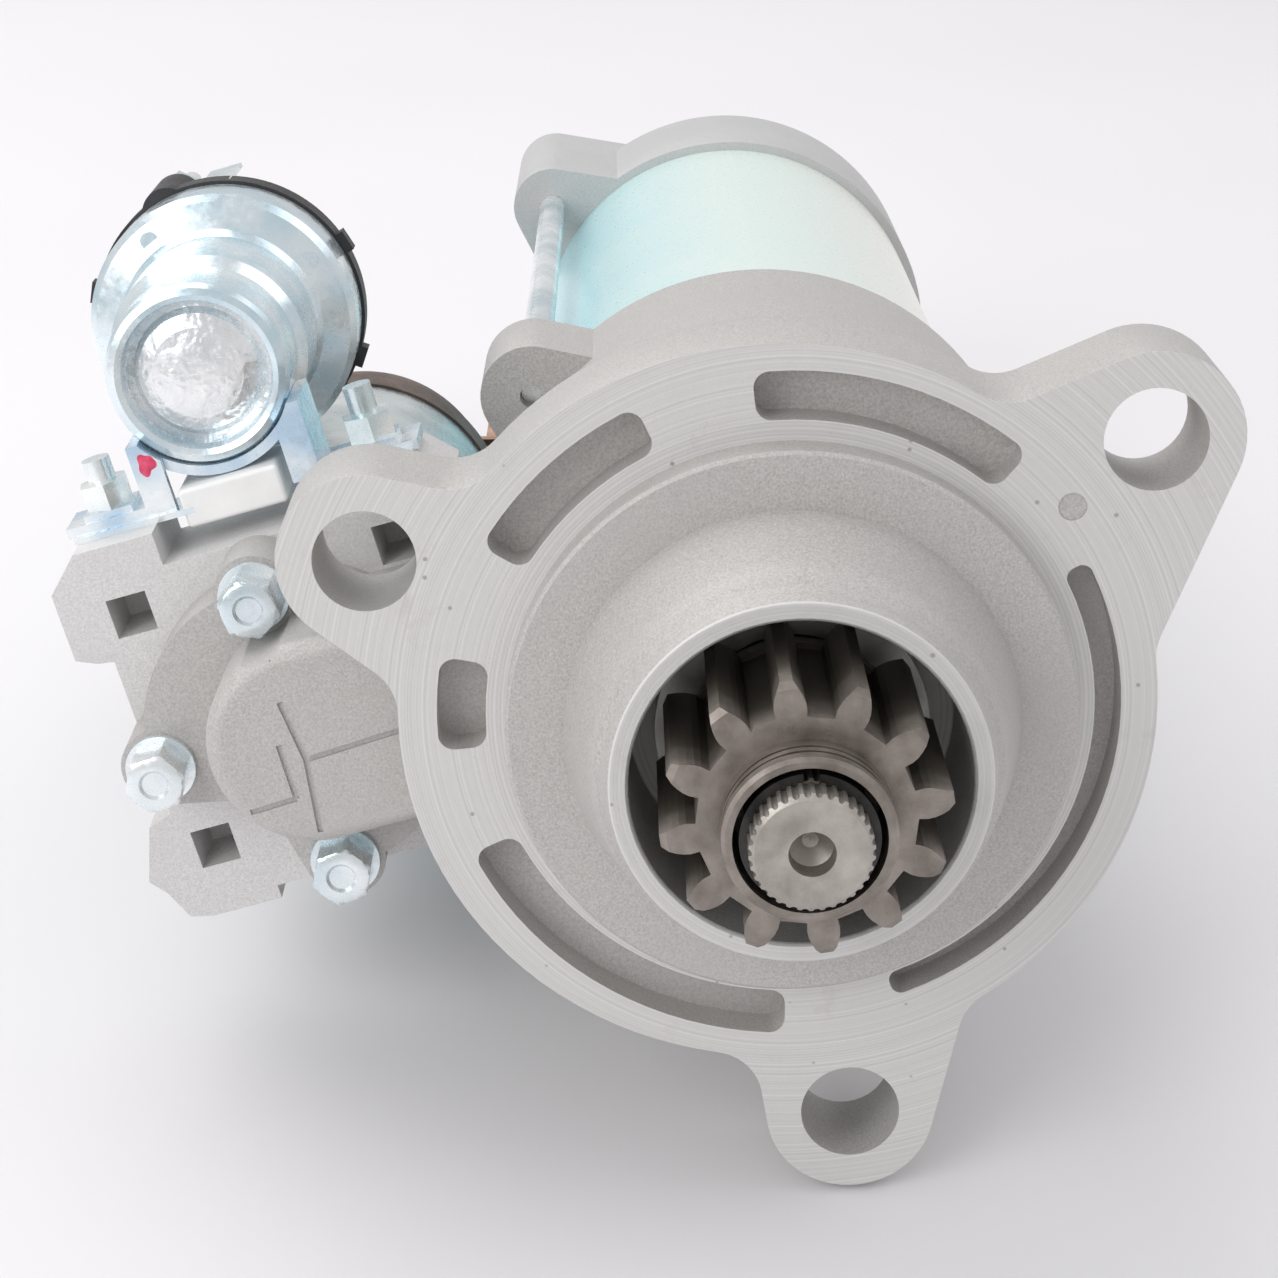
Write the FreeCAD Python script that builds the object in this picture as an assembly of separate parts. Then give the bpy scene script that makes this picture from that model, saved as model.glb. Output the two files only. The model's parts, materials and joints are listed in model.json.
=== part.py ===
import FreeCAD, Part
import math
import os

# Heavy-duty pre-engaged starter motor, planetary reduction, three-hole flange.
# Frame: origin on the pinion axis in the plane of the flange's mounting face.
# +Y runs to the rear cover, -Y out through the pinion, +Z up, +X right seen from the front.
# All sizes in millimetres.

# ---- mounting interface ----
FLANGE_THICK = 19.0
BOLT_CIRCLE_R = 73.025
BOLT_HOLE_R = 8.35
BOLT_FIRST_ANGLE = -81.0
EAR_R = 14.2
DISC_R = 61.5
DISC_X = -2.0
PILOT_R = 46.04
PILOT_Y = -6.8
SNOUT_BASE_R = 36.7
SNOUT_FRONT_R = 29.7
SNOUT_Y = -30.6
SNOUT_BORE_R = 26.4

# ---- face pockets of the flange: inner radius, outer radius, start angle, end angle ----
POCKET_INNER_R = 49.3
POCKET_OUTER_R = 57.2
POCKET_NARROW_R = 53.6
POCKET_CORNER_R = 2.6
POCKET_DEPTH = 7.0
WIDE_POCKETS = [(116.0, 150.0), (50.0, 97.0), (205.0, 270.0), (169.8, 186.2)]
NARROW_POCKET = (-70.0, 29.0)

# ---- gear housing, yoke and rear cover ----
HOUSING_R = 51.0
HOUSING_BORE_R = 42.5
HOUSING_END_Y = 105.0
YOKE_R = 46.0
YOKE_BORE_R = 41.5
YOKE_END_Y = 268.0
COVER_R = 48.0
COVER_END_Y = 321.0
THROUGH_BOLT_R = 3.0
THROUGH_BOLT_CIRCLE = 54.2
THROUGH_BOLT_ANGLES = (143.8, 323.8)
LUG_R = 9.5
THROUGH_BOLT_END_Y = 86.0

# ---- planetary gears ----
GEAR_MODULE = 1.75
SUN_TEETH = 12
PLANET_TEETH = 15
RING_TEETH = 42
PLANET_COUNT = 3
PLANET_ORBIT_R = GEAR_MODULE * (SUN_TEETH + PLANET_TEETH) / 2
GEAR_Y0 = 84.0
GEAR_Y1 = 98.0
FIRST_PLANET_ANGLE = 90.0
GEAR_BACKLASH = 0.34

# ---- pinion and output shaft ----
PINION_TEETH = 12
PINION_PITCH_R = 19.05
PINION_TIP_R = 22.0
PINION_ROOT_R = 16.5
PINION_FRONT_Y = -44.5
PINION_REAR_Y = -14.0
PINION_NOSE_Y = -52.0
PINION_NOSE_R = 13.0
PINION_SLEEVE_R = 15.5
SHAFT_R = 9.2
SHAFT_FRONT_Y = -56.8
SPLINE_TEETH = 34
STOP_RING_Y = -51.6
COUNTERBORE_END_Y = -36.0

# ---- shift lever ----
LEVER_PIVOT_Y = 30.0
LEVER_PIVOT_D = 47.0
COLLAR_ARM = LEVER_PIVOT_D
PLUNGER_ARM = 36.6
LEVER_HALF_SWING = 8.5

# ---- solenoid: its own frame is turned about Y and centred on its axis ----
SOL_X = -82.6
SOL_Z = -13.0
SOL_TURN = 16.0
SOL_BOLT_CIRCLE = 25.3
BLOCK_Y0 = 40.0
BLOCK_Y1 = 62.0
CAN_R = 30.0
CAN_END_Y = 150.0

# ---- magnetic switch relay, in the solenoid's frame ----
RELAY_U = -1.5
RELAY_V = 60.0
RELAY_FRONT_Y = 49.0
RELAY_RIM_Y = 86.0
RELAY_R = 16.0
RELAY_RIM_R = 24.6
RELAY_STUDS = ((-5.2, 21.3), (5.2, -21.3))
RELAY_TABS = ((4.6, 23.7), (-4.6, -23.7))
RELAY_SEAT_Y = 112.0
RELAY_CORNERS = (16.0, 155.0, 215.0, 325.0)

# ---- solenoid nose on the housing ----
NOSE_U = 4.5
NOSE_V = 2.5
NOSE_R = 17.75
NOSE_Y = 10.0
LEVER_SLOT_HALF = 9.5
SOL_BOLT_ANGLES = (90.0, 180.0, 270.0)
SEAT_Y = 28.0
SEAT_R = 27.0
SEAT_LOBE_R = 7.0

# ---- armature, magnets and brushes ----
ROTOR_Y0 = 125.0
ROTOR_Y1 = 220.0
ROTOR_R = 33.8
SLOT_COUNT = 20
COMMUTATOR_R = 18.0
BRUSH_Y0 = 244.0
BRUSH_Y1 = 260.0
BRUSH_COUNT = 4
MAGNET_COUNT = 6

# ---- solenoid block, contacts and terminals, in the solenoid frame ----
BLOCK_HALF_U = 36.5
BLOCK_HALF_V = 37.5
CONTACT_Y = 158.0
CAP_END_Y = 174.0
TERMINAL_U = 13.0
STUD_R = 4.0
STUD_BODY_R = 4.9
BLOCK_CLEAR_R = 53.6
HEAD_HEIGHT = 6.0

# ---- bar from the solenoid to the motor ----
LEAD_Y0 = 180.6
LEAD_THICK = 2.6
LEAD_X0 = -57.0
LEAD_X1 = -53.4
LEAD_Z0 = -14.0
LEAD_Z1 = -3.0
GROMMET_Y = 277.0

# ---- relay bracket and link, in the solenoid frame ----
FOOT_U = 24.0
FOOT_Y = 52.0
FOOT_THICK = 1.8
LEG_TOP_V = 51.5
LINK_THICK = 1.1
SLEEVE_U0 = -10.9
SLEEVE_U1 = 7.3
BRACKET_THICK = 1.8
LEVER_ANGLE = math.degrees(math.atan2(SOL_Z, SOL_X))

Y_AXIS = FreeCAD.Vector(0, 1, 0)
ORIGIN = FreeCAD.Vector(0, 0, 0)


def export(name, *shapes):
    """Write one node; several shapes become separate solids of one compound."""
    solids = [s for shape in shapes for s in shape.Solids]
    body = solids[0] if len(solids) == 1 else Part.makeCompound(solids)
    body.exportStep("parts/" + name + ".step")


def polar(radius, degrees):
    a = math.radians(degrees)
    return radius * math.cos(a), radius * math.sin(a)


def cyl(r, y0, y1, x=0.0, z=0.0):
    return Part.makeCylinder(r, y1 - y0, FreeCAD.Vector(x, y0, z), Y_AXIS)


def tube(r_out, r_in, y0, y1, x=0.0, z=0.0):
    return cyl(r_out, y0, y1, x, z).cut(cyl(r_in, y0 - 1, y1 + 1, x, z))


def box(x0, x1, y0, y1, z0, z1):
    return Part.makeBox(x1 - x0, y1 - y0, z1 - z0, FreeCAD.Vector(x0, y0, z0))


def revolved(profile, x=0.0, z=0.0):
    """Turn a closed profile of (radius, y) points about the Y axis."""
    pts = [FreeCAD.Vector(r, y, 0) for r, y in profile]
    wire = Part.makePolygon(pts + [pts[0]])
    solid = Part.Face(wire).revolve(ORIGIN, Y_AXIS, 360)
    solid.translate(FreeCAD.Vector(x, 0, z))
    return solid


def prism(points, y0, y1):
    """Extrude a closed outline of (x, z) points along Y."""
    pts = [FreeCAD.Vector(x, y0, z) for x, z in points]
    return Part.Face(Part.makePolygon(pts + [pts[0]])).extrude(FreeCAD.Vector(0, y1 - y0, 0))


def turned(shape, degrees):
    """A copy turned about Y so that a positive angle goes from +X towards +Z."""
    out = shape.copy()
    out.rotate(ORIGIN, Y_AXIS, -degrees)
    return out


def to_solenoid(shape):
    """Carry a shape from the solenoid's own (u, y, v) frame to the part's frame."""
    out = turned(shape, SOL_TURN)
    out.translate(FreeCAD.Vector(SOL_X, 0, SOL_Z))
    return out


def union(shapes):
    out = shapes[0]
    return out.multiFuse(shapes[1:]).removeSplitter() if len(shapes) > 1 else out


def hexagon(across_flats, x=0.0, z=0.0, phase=0.0):
    r = across_flats / math.sqrt(3)
    return [(x + r * math.cos(math.radians(60 * i + phase)),
             z + r * math.sin(math.radians(60 * i + phase))) for i in range(6)]


def tangent_hull(x0, z0, r0, x1, z1, r1, y0, y1):
    """A plate whose outline is the outer tangent hull of two circles."""
    dx, dz = x1 - x0, z1 - z0
    dist = math.hypot(dx, dz)
    base = math.atan2(dz, dx)
    spread = math.acos((r0 - r1) / dist)
    corners = []
    for cx, cz, r, sign in ((x0, z0, r0, 1), (x1, z1, r1, 1), (x1, z1, r1, -1), (x0, z0, r0, -1)):
        a = base + sign * spread
        corners.append((cx + r * math.cos(a), cz + r * math.sin(a)))
    plate = prism(corners, y0, y1)
    return union([plate, cyl(r0, y0, y1, x0, z0), cyl(r1, y0, y1, x1, z1)])


def involute_outline(teeth, pitch_r, tip_r, root_r, thinning, phase, pressure=20.0):
    """Outline of an involute gear; a tooth is centred at phase degrees."""
    base_r = pitch_r * math.cos(math.radians(pressure))

    def inv(r):
        a = math.acos(min(1.0, base_r / r))
        return math.tan(a) - a

    half = math.pi / (2 * teeth) - thinning / (2 * pitch_r) + inv(pitch_r)
    start = max(base_r, root_r)
    radii = [start + (tip_r - start) * k / 4 for k in range(5)]
    flank = [(r, half - inv(r)) for r in radii]
    if root_r < start:
        flank.insert(0, (root_r, flank[0][1]))
    points = []
    for i in range(teeth):
        mid = math.radians(phase) + 2 * math.pi * i / teeth
        for r, a in flank:
            points.append((r * math.cos(mid - a), r * math.sin(mid - a)))
        for r, a in reversed(flank):
            points.append((r * math.cos(mid + a), r * math.sin(mid + a)))
    return points


def arc_pocket(r_in, r_out, start, end, y0, y1):
    """A curved slot with rounded corners, centred on the motor axis."""
    corners = [(r_in, y0), (r_out, y0), (r_out, y1), (r_in, y1), (r_in, y0)]
    face = Part.Face(Part.makePolygon([FreeCAD.Vector(r, y, 0) for r, y in corners]))
    band = turned(face.revolve(ORIGIN, Y_AXIS, end - start), end)
    along_y = [edge for edge in band.Edges
               if abs(abs(edge.Vertexes[0].Y - edge.Vertexes[-1].Y) - (y1 - y0)) < 0.01]
    return band.makeFillet(min(POCKET_CORNER_R, 0.42 * (r_out - r_in)), along_y)


def spring(radius, wire_r, turns, y0, y1, x=0.0, z=0.0):
    """A coil spring along Y between two ends."""
    height = y1 - y0 - 2 * wire_r
    helix = Part.makeHelix(height / turns, height, radius)
    profile = Part.Wire(Part.makeCircle(wire_r, FreeCAD.Vector(radius, 0, 0), Y_AXIS))
    coil = Part.Wire(helix).makePipeShell([profile], True, True)
    coil.rotate(ORIGIN, FreeCAD.Vector(1, 0, 0), -90)
    coil.translate(FreeCAD.Vector(x, y0 + wire_r, z))
    return coil


# ---------------------------------------------------------------- drive end housing


def flange():
    """Machined three-eared plate; each ear blends into the round disc."""
    webs = [((12.0, -40.0), 20.5), ((30.0, 18.0), 29.0), ((-44.0, 15.0), 20.0)]
    parts = [cyl(DISC_R, 0, FLANGE_THICK, DISC_X, 0)]
    for i, (centre, radius) in enumerate(webs):
        ex, ez = polar(BOLT_CIRCLE_R, BOLT_FIRST_ANGLE + 120 * i)
        parts.append(tangent_hull(ex, ez, EAR_R, centre[0], centre[1], radius, 0, FLANGE_THICK))
    plate = union(parts)
    inner = [e for e in plate.Edges if is_valley(e)]
    return plate.makeFillet(9.0, inner) if inner else plate


def is_valley(edge):
    """Straight edges along Y where an ear meets the disc."""
    if edge.Curve.TypeId != "Part::GeomLine" or abs(edge.Length - FLANGE_THICK) > 1e-3:
        return False
    if abs(edge.tangentAt(edge.FirstParameter).y) < 0.99:
        return False
    p = edge.Vertexes[0].Point
    return abs(math.hypot(p.x - DISC_X, p.z) - DISC_R) < 0.05


def drive_end_housing():
    snout = revolved([
        (PILOT_R, 1.0), (PILOT_R, PILOT_Y + 0.6), (PILOT_R - 0.6, PILOT_Y), (SNOUT_BASE_R, PILOT_Y),
        (31.6, -25.4), (30.6, -26.2), (SNOUT_FRONT_R, SNOUT_Y + 0.5), (SNOUT_FRONT_R - 0.5, SNOUT_Y),
        (SNOUT_BORE_R + 0.5, SNOUT_Y), (SNOUT_BORE_R, SNOUT_Y + 0.5), (SNOUT_BORE_R, 1.0)])
    case = revolved([(0, 0.5), (57.5, 0.5), (56.0, 30.0), (52.0, 44.0), (HOUSING_R, 60.0),
                     (HOUSING_R, HOUSING_END_Y), (0, HOUSING_END_Y)])
    nose = union([
        to_solenoid(cyl(NOSE_R, NOSE_Y, BLOCK_Y0, NOSE_U, NOSE_V)),
        to_solenoid(box(NOSE_U, 50.0, NOSE_Y, BLOCK_Y0, NOSE_V - NOSE_R, NOSE_V + NOSE_R))])
    rim = [e for e in nose.Edges if abs(e.CenterOfMass.y - NOSE_Y) < 1e-3]
    nose = nose.makeFillet(3.0, rim)
    mount = solenoid_seat()
    lugs = [tangent_hull(*polar(THROUGH_BOLT_CIRCLE, a), LUG_R, 0, 0, 32.0, 82.0, HOUSING_END_Y)
            for a in THROUGH_BOLT_ANGLES]
    body = union([flange(), snout, case, nose, mount] + lugs)

    cuts = [cyl(SNOUT_BORE_R, SNOUT_Y + 0.4, -6.0), cyl(22.0, -6.1, -1.0), cyl(19.5, -1.1, 12.1),
            cyl(34.0, 12.0, 48.1), cyl(HOUSING_BORE_R, 48.0, HOUSING_END_Y + 1)]
    slot = turned(box(20.0, math.hypot(SOL_X, SOL_Z), 14.0, 45.0, -LEVER_SLOT_HALF, LEVER_SLOT_HALF),
                  LEVER_ANGLE)
    cuts += [slot, to_solenoid(cyl(LEVER_SLOT_HALF, 14.0, BLOCK_Y0 + 1)),
             pivot_pin_shape()]
    for a in SOL_BOLT_ANGLES:
        cuts.append(to_solenoid(cyl(3.0, 27.0, BLOCK_Y0 + 1, *polar(SOL_BOLT_CIRCLE, a))))
        cuts.append(to_solenoid(cyl(7.0, 5.0, 28.0, *polar(SOL_BOLT_CIRCLE, a))))
    for i in range(3):
        ex, ez = polar(BOLT_CIRCLE_R, BOLT_FIRST_ANGLE + 120 * i)
        cuts.append(cyl(BOLT_HOLE_R, -1, FLANGE_THICK + 20, ex, ez))
    for a in THROUGH_BOLT_ANGLES:
        bx, bz = polar(THROUGH_BOLT_CIRCLE, a)
        cuts.append(cyl(THROUGH_BOLT_R, THROUGH_BOLT_END_Y, HOUSING_END_Y + 1, bx, bz))
        cuts.append(cyl(2.2, 81.0, THROUGH_BOLT_END_Y + 1, bx, bz))
    for start, end in WIDE_POCKETS:
        cuts.append(arc_pocket(POCKET_INNER_R, POCKET_OUTER_R, start, end, -0.5, POCKET_DEPTH))
    cuts.append(arc_pocket(POCKET_INNER_R, POCKET_NARROW_R, *NARROW_POCKET, -0.5, POCKET_DEPTH))
    cuts.append(cyl(2.3, -0.5, 0.3, 44.1, 35.0))
    cuts += nose_grooves()
    for shape in cuts:
        body = body.cut(shape)
    return body.removeSplitter()


def solenoid_seat():
    """Seat of the solenoid: a disc with a lobe at each bolt, cut away between the two lower lobes."""
    corner = turned(box(13.2, 40.0, SEAT_Y - 1, BLOCK_Y0 + 1, -30.0, 30.0), 225.0)
    disc = cyl(SEAT_R, SEAT_Y, BLOCK_Y0).cut(corner)
    lobes = [tangent_hull(*polar(SOL_BOLT_CIRCLE, a), SEAT_LOBE_R, 0, 0, 12.5, SEAT_Y, BLOCK_Y0)
             for a in SOL_BOLT_ANGLES]
    return to_solenoid(union([disc] + lobes))


def nose_grooves():
    """Shallow casting lines that part the nose's front face into three panels."""
    depth = 0.6
    lines = [((2.0, 11.5), (3.1, 0.6)), ((3.1, 0.6), (1.4, -12.5)), ((3.1, 0.6), (26.0, 1.5)),
             ((-0.5, 4.3), (-0.6, -5.6)), ((-0.6, -5.6), (-8.8, -5.9))]
    out = []
    for (u0, v0), (u1, v1) in lines:
        length = math.hypot(u1 - u0, v1 - v0)
        bar = box(0, length, NOSE_Y - 1, NOSE_Y + depth, -0.5, 0.5)
        bar = turned(bar, math.degrees(math.atan2(v1 - v0, u1 - u0)))
        bar.translate(FreeCAD.Vector(u0, 0, v0))
        out.append(to_solenoid(bar))
    return out


def pivot_pin_shape():
    """The lever's pivot, square to the lever's plane."""
    pin = Part.makeCylinder(4.0, 34.0, FreeCAD.Vector(LEVER_PIVOT_D, LEVER_PIVOT_Y, -17.0),
                            FreeCAD.Vector(0, 0, 1))
    return turned(pin, LEVER_ANGLE)


# ---------------------------------------------------------------- gear train
def planet_angle(i):
    return FIRST_PLANET_ANGLE + 360.0 / PLANET_COUNT * i


def gear_radii(teeth):
    pitch_r = GEAR_MODULE * teeth / 2
    return pitch_r, pitch_r + 0.8 * GEAR_MODULE, pitch_r - 1.25 * GEAR_MODULE


def planet_gear(i):
    pitch_r, tip_r, root_r = gear_radii(PLANET_TEETH)
    x, z = polar(PLANET_ORBIT_R, planet_angle(i))
    outline = involute_outline(PLANET_TEETH, pitch_r, tip_r, root_r, GEAR_BACKLASH / 2, planet_angle(i))
    gear = prism(outline, GEAR_Y0, GEAR_Y1).cut(cyl(4.05, GEAR_Y0 - 1, GEAR_Y1 + 1))
    gear.translate(FreeCAD.Vector(x, 0, z))
    return gear


def ring_gear():
    """Internal teeth: the space between them is a fattened external tooth."""
    pitch_r = GEAR_MODULE * RING_TEETH / 2
    space = involute_outline(RING_TEETH, pitch_r, pitch_r + 1.25 * GEAR_MODULE,
                             pitch_r - 0.8 * GEAR_MODULE, -GEAR_BACKLASH / 2, FIRST_PLANET_ANGLE)
    return cyl(HOUSING_BORE_R, 82.0, 100.0).cut(prism(space, 81.0, 101.0))


def armature_shaft():
    pitch_r, tip_r, root_r = gear_radii(SUN_TEETH)
    sun = prism(involute_outline(SUN_TEETH, pitch_r, tip_r, root_r, GEAR_BACKLASH / 2,
                                 FIRST_PLANET_ANGLE), GEAR_Y0, GEAR_Y1)
    return union([cyl(6.0, 60.0, GEAR_Y0 + 0.5), sun, cyl(8.0, GEAR_Y1 - 0.5, 316.0)])


def planet_carrier():
    """The carrier disc and the outer race of the roller clutch are one forging."""
    race = revolved([(9.4, 48.5), (33.0, 48.5), (33.0, 80.0), (8.8, 80.0), (8.8, 74.0), (20.0, 74.0),
                     (20.0, 51.0), (9.4, 51.0)])
    for i in range(PLANET_COUNT):
        race = race.cut(cyl(4.0, 75.0, 81.0, *polar(PLANET_ORBIT_R, planet_angle(i))))
    return race


def output_shaft():
    shaft = revolved([(0, SHAFT_FRONT_Y), (SHAFT_R - 0.8, SHAFT_FRONT_Y), (SHAFT_R, SHAFT_FRONT_Y + 0.8),
                      (SHAFT_R, 51.5), (14.0, 51.5), (14.0, 72.0), (6.1, 72.0), (6.1, 59.0), (0, 59.0)])
    drill = revolved([(0, SHAFT_FRONT_Y - 0.1), (3.5, SHAFT_FRONT_Y - 0.1), (3.3, SHAFT_FRONT_Y + 3.4),
                      (1.2, SHAFT_FRONT_Y + 5.4), (0, SHAFT_FRONT_Y + 5.8)])
    groove = tube(SHAFT_R + 1, SHAFT_R - 0.7, STOP_RING_Y - 0.1, STOP_RING_Y + 1.3)
    shaft = shaft.cut(drill).cut(groove)
    notch = Part.makeCylinder(0.55, 22.0, FreeCAD.Vector(SHAFT_R + 0.05, SHAFT_FRONT_Y - 1, 0), Y_AXIS)
    notches = [turned(notch, 360.0 / SPLINE_TEETH * i) for i in range(SPLINE_TEETH)]
    return shaft.cut(Part.makeCompound(notches))


def stop_ring():
    """Snap ring near the shaft's end that limits the pinion's travel."""
    ring = tube(SHAFT_R + 1.2, SHAFT_R - 0.7, STOP_RING_Y, STOP_RING_Y + 1.2)
    return ring.cut(box(-1.2, 1.2, STOP_RING_Y - 1, STOP_RING_Y + 2, 4, 14))


def pinion():
    """Twelve chamfered teeth on a long sleeve, with a grooved nose and a deep counterbore."""
    teeth = prism(involute_outline(PINION_TEETH, PINION_PITCH_R, PINION_TIP_R, PINION_ROOT_R, 0.3,
                                   BOLT_FIRST_ANGLE), PINION_FRONT_Y, PINION_REAR_Y)
    envelope = revolved([(0, PINION_FRONT_Y), (20.9, PINION_FRONT_Y), (PINION_TIP_R + 0.2, -43.4),
                         (PINION_TIP_R + 0.2, PINION_REAR_Y), (0, PINION_REAR_Y)])
    teeth = teeth.common(envelope)
    for i in range(PINION_TEETH):
        wedge = box(16.4, 24.0, -3.0, 3.0, 0.0, 3.5)
        wedge.rotate(FreeCAD.Vector(20.0, 0, 0), FreeCAD.Vector(1, 0, 0), 38)
        wedge.translate(FreeCAD.Vector(0, PINION_FRONT_Y - 1.2, 2.1))
        teeth = teeth.cut(turned(wedge, BOLT_FIRST_ANGLE + 360.0 / PINION_TEETH * i))
    nose = revolved([(9.0, PINION_NOSE_Y), (PINION_NOSE_R - 0.6, PINION_NOSE_Y),
                     (PINION_NOSE_R, PINION_NOSE_Y + 0.6), (PINION_NOSE_R, PINION_NOSE_Y + 7.7),
                     (9.0, PINION_NOSE_Y + 7.7)])
    for y in (PINION_NOSE_Y + 2.4, PINION_NOSE_Y + 4.4):
        nose = nose.cut(tube(PINION_NOSE_R + 1, PINION_NOSE_R - 0.5, y, y + 0.7))
    sleeve = revolved([(9.0, PINION_REAR_Y - 0.5), (17.5, PINION_REAR_Y - 0.5), (17.5, -12.0),
                       (PINION_SLEEVE_R, -11.5), (PINION_SLEEVE_R, 31.0), (9.0, 31.0)])
    body = union([teeth, nose, sleeve])
    return body.cut(cyl(SHAFT_R + 0.06, -60, 40)).cut(cyl(11.4, PINION_NOSE_Y - 1, COUNTERBORE_END_Y))


def shift_collar():
    """Grooved ring on the pinion sleeve's rear end, driven by the lever's fork."""
    return revolved([(SHAFT_R + 0.06, 31.0), (21.0, 31.0), (21.0, 33.6), (14.0, 33.6), (14.0, 40.2),
                     (21.0, 40.2), (21.0, 43.0), (SHAFT_R + 0.06, 43.0)])


def shift_lever():
    """Two-armed forged lever: a fork with round pads in the collar's groove, a round end at the plunger.

    It is drawn square to the motor axis and swung back to its rest angle about the pivot.
    """
    pivot = FreeCAD.Vector(LEVER_PIVOT_D, LEVER_PIVOT_Y, 0)
    end_d = LEVER_PIVOT_D + PLUNGER_ARM
    fork = tube(27.0, 22.0, LEVER_PIVOT_Y - 2.8, LEVER_PIVOT_Y + 2.8)
    fork = fork.cut(box(-30.0, -3.4, 0.0, 60.0, -30.0, 30.0))
    hub = Part.makeCylinder(8.0, 14.0, FreeCAD.Vector(LEVER_PIVOT_D, LEVER_PIVOT_Y, -7.0))
    stem = box(23.5, LEVER_PIVOT_D, LEVER_PIVOT_Y - 3.0, LEVER_PIVOT_Y + 3.0, -6.5, 6.5)
    arm = box(LEVER_PIVOT_D, end_d, LEVER_PIVOT_Y - 2.6, LEVER_PIVOT_Y + 2.6, -3.0, 3.0)
    end = Part.makeCylinder(3.9, 6.0, FreeCAD.Vector(end_d, LEVER_PIVOT_Y, -3.0))
    pads = [Part.makeCylinder(3.1, 8.4, FreeCAD.Vector(LEVER_PIVOT_D - COLLAR_ARM, LEVER_PIVOT_Y, z0))
            for z0 in (14.8, -23.2)]
    lever = union([fork, hub, stem, arm, end] + pads)
    lever = lever.cut(Part.makeCylinder(4.06, 30.0, FreeCAD.Vector(LEVER_PIVOT_D, LEVER_PIVOT_Y, -15.0)))
    lever.rotate(pivot, FreeCAD.Vector(0, 0, 1), -LEVER_HALF_SWING)
    return turned(lever, LEVER_ANGLE)


# ---------------------------------------------------------------- motor


def armature_core():
    core = tube(ROTOR_R, 8.0, ROTOR_Y0, ROTOR_Y1)
    slot = box(22.0, ROTOR_R + 1, ROTOR_Y0 - 1, ROTOR_Y1 + 1, -1.9, 1.9)
    return core.cut(Part.makeCompound([turned(slot, 360.0 / SLOT_COUNT * i) for i in range(SLOT_COUNT)]))


def armature_windings():
    """Bars in the core's slots, joined at both ends by the coil heads."""
    bar = box(22.5, ROTOR_R - 0.8, ROTOR_Y0 - 1, ROTOR_Y1 + 1, -1.7, 1.7)
    bars = [turned(bar, 360.0 / SLOT_COUNT * i) for i in range(SLOT_COUNT)]
    heads = [tube(32.5, 12.0, 112.0, ROTOR_Y0), tube(32.5, 12.0, ROTOR_Y1, 235.0)]
    return union(heads + bars)


def commutator():
    body = tube(COMMUTATOR_R, 8.0, 236.0, 266.0)
    riser = tube(COMMUTATOR_R + 2.5, 8.0, 236.0, 239.0)
    cut = box(COMMUTATOR_R - 1.2, COMMUTATOR_R + 4, 235.0, 267.0, -0.3, 0.3)
    gaps = Part.makeCompound([turned(cut, 360.0 / SLOT_COUNT * (i + 0.5)) for i in range(SLOT_COUNT)])
    return union([body, riser]).cut(gaps)


def field_magnets():
    ring = tube(YOKE_BORE_R, 34.6, ROTOR_Y0 - 5, ROTOR_Y1 + 5)
    gap = box(30.0, 50.0, ROTOR_Y0 - 6, ROTOR_Y1 + 6, -3.2, 3.2)
    gaps = [turned(gap, 360.0 / MAGNET_COUNT * i) for i in range(MAGNET_COUNT)]
    return ring.cut(Part.makeCompound(gaps))


def brush_angle(i):
    return 45.0 + 360.0 / BRUSH_COUNT * i


def brushes():
    one = box(COMMUTATOR_R - 1, 30.0, BRUSH_Y0, BRUSH_Y1, -5.0, 5.0).cut(
        cyl(COMMUTATOR_R + 0.06, BRUSH_Y0 - 1, BRUSH_Y1 + 1))
    return [turned(one, brush_angle(i)) for i in range(BRUSH_COUNT)]


def brush_springs():
    coil = spring(3.2, 0.5, 4, 0.0, 6.8)
    coil.rotate(ORIGIN, FreeCAD.Vector(0, 0, 1), -90)
    coil.translate(FreeCAD.Vector(30.1, (BRUSH_Y0 + BRUSH_Y1) / 2, 0))
    return [turned(coil, brush_angle(i)) for i in range(BRUSH_COUNT)]


def brush_holder():
    """Insulated plate with one open-ended guide box for each brush."""
    guide = box(21.0, 39.5, BRUSH_Y0 - 2.0, 265.0, -7.0, 7.0).cut(
        box(20.0, 37.5, BRUSH_Y0 - 0.1, BRUSH_Y1 + 0.1, -5.1, 5.1))
    guides = [turned(guide, brush_angle(i)) for i in range(BRUSH_COUNT)]
    return union([tube(41.4, 20.5, 262.0, 265.0)] + guides)


def rear_cover():
    shell = revolved([(0, 316.4), (12.0, 316.4), (12.0, 304.0), (17.0, 304.0), (18.5, 313.0),
                      (36.0, 313.0), (42.0, 308.0), (42.6, YOKE_END_Y), (COVER_R, YOKE_END_Y),
                      (COVER_R, 309.0), (46.2, 315.5), (41.0, 319.6), (35.0, COVER_END_Y), (0, COVER_END_Y)])
    lugs = [tangent_hull(*polar(THROUGH_BOLT_CIRCLE, a), LUG_R, 0, 0, 34.0, YOKE_END_Y, COVER_END_Y)
            for a in THROUGH_BOLT_ANGLES]
    inside = cyl(42.5, YOKE_END_Y - 1, 308.0)
    lugs = [lug.cut(inside).cut(cyl(36.0, 300.0, 313.0)).cut(cyl(12.0, 300.0, 316.4)) for lug in lugs]
    body = union([shell] + lugs)
    for a in THROUGH_BOLT_ANGLES:
        body = body.cut(cyl(THROUGH_BOLT_R, YOKE_END_Y - 1, COVER_END_Y + 1, *polar(THROUGH_BOLT_CIRCLE, a)))
    return body.cut(lead_grommet_hole())


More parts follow.
